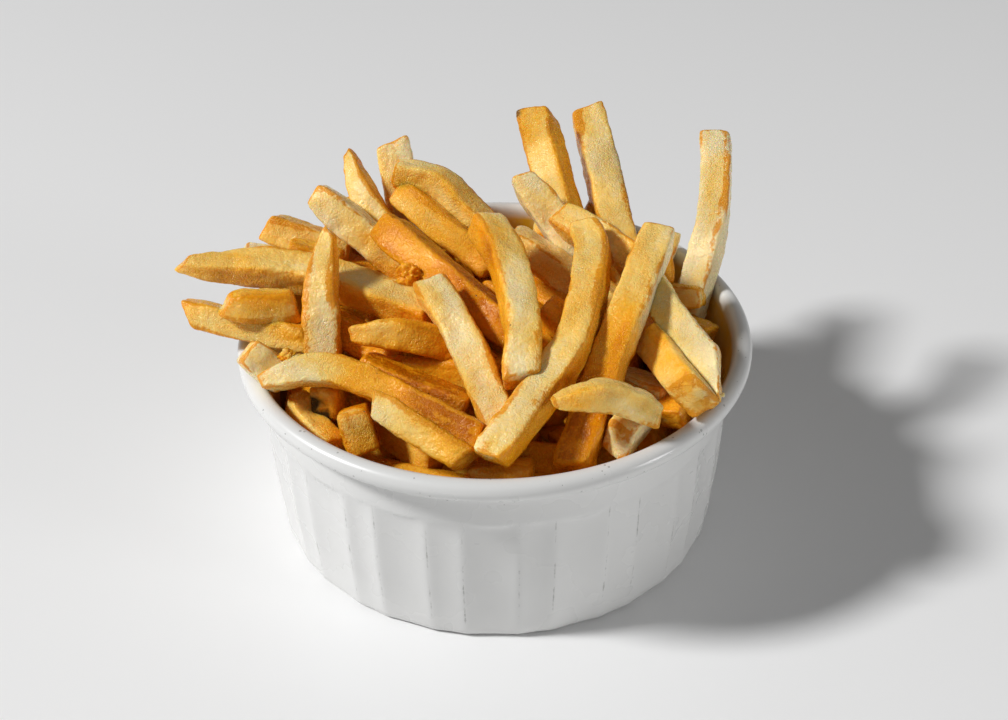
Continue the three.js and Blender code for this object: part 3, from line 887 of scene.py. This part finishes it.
def pale_table():
    finish = Finish("pale_table")
    back = finish.node("ShaderNodeSeparateXYZ", {"Vector": finish.where}).outputs["Y"]
    return finish.finished(
        {
            # painted shade: the table darkens towards the back, as the light falls off
            "Base Color": finish.ramp(finish.ranged(back, *PAINTED_FALLOFF_DEPTH), TABLE_PAINTED_FALLOFF),
            "Roughness": 0.42,
        }
    )


# ---- camera, table and light, in metres ----

CAMERA_PLACE = (0.002277, -0.342928, 0.283809)
CAMERA_TILT = math.radians(90 - 35.0233)
CAMERA_ROLL = math.radians(-0.5)
SENSOR = 36
LENS = 1600 / 1008 * SENSOR
NEAR_LIMIT = 0.01
TABLE_SIZE = 8
TABLE_HEIGHT = -0.00005  # just under the foot, so that the two aren't in one plane
LIT_POINT = (0, 0, 0.05)
# (name, direction from the lit point, distance, size, power)
LIGHTS = [
    ("high_left", (-0.73, -0.10, 0.67), 4.0, 0.68, 163),
    ("low_right", (0.9, -0.42, 0.13), 2.5, 0.7, 16.2),
]
SKY_STRENGTH = 0.172


def set_camera():
    data = bpy.data.cameras.new("camera")
    data.lens = LENS
    data.sensor_width = SENSOR
    data.clip_start = NEAR_LIMIT
    camera = bpy.data.objects.new("camera", data)
    bpy.context.scene.collection.objects.link(camera)
    turned = Matrix.Rotation(CAMERA_TILT, 4, "X") @ Matrix.Rotation(CAMERA_ROLL, 4, "Z")
    camera.matrix_world = Matrix.Translation(CAMERA_PLACE) @ turned
    bpy.context.scene.camera = camera


def lay_table(material):
    deselect()
    bpy.ops.mesh.primitive_plane_add(size=TABLE_SIZE, location=(0, 0, TABLE_HEIGHT))
    table = bpy.context.object
    table.name = "table"
    table.data.materials.append(material)


def aimed_light(name, way, distance, size, power):
    data = bpy.data.lights.new(name, "AREA")
    data.shape = "DISK"
    data.size = size
    data.energy = power
    data.color = WHITE
    light = bpy.data.objects.new(name, data)
    bpy.context.scene.collection.objects.link(light)
    toward = Vector(way).normalized()
    light.location = Vector(LIT_POINT) + toward * distance
    light.rotation_mode = "QUATERNION"
    light.rotation_quaternion = toward.to_track_quat("Z", "Y")


def set_sky():
    world = bpy.data.worlds.new("studio")
    bpy.context.scene.world = world
    world.use_nodes = True
    sky = world.node_tree.nodes["Background"]
    sky.inputs["Color"].default_value = (*WHITE, 1)
    sky.inputs["Strength"].default_value = SKY_STRENGTH


# ---- put together ----

glaze = white_glaze()
potato = fried_potato()

ramekin = make_ramekin()
ramekin.data.materials.append(glaze)
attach(ramekin, "root")
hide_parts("ramekin")

# the last number starts a count that is different for every fry
heap = [
    make_heap("fries_over_the_rim", OVER_THE_RIM, FINE, 0),
    make_heap("fries_in_front", FRONT, FINE, 20),
    make_heap("fries_in_the_middle", MIDDLE, FINE, 40),
    make_heap("fries_at_the_back", BACK, FINE, 60),
    make_heap("fries_in_the_bed", bed_rows(BED_LAYERS, BED_SEED), COARSE, 80),
    make_heap("fries_below", bed_rows(DEEP_LAYERS, DEEP_SEED), COARSE, 130),
    make_core(),
    make_crumbs(),
]
for piece in heap:
    piece.data.materials.clear()
    piece.data.materials.append(potato)
    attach(piece, "root")
    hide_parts("fries")
for blank in blanks.values():
    bpy.data.objects.remove(blank)

set_camera()
lay_table(pale_table())
for light in LIGHTS:
    aimed_light(*light)
set_sky()
bpy.context.scene.view_settings.view_transform = "Standard"
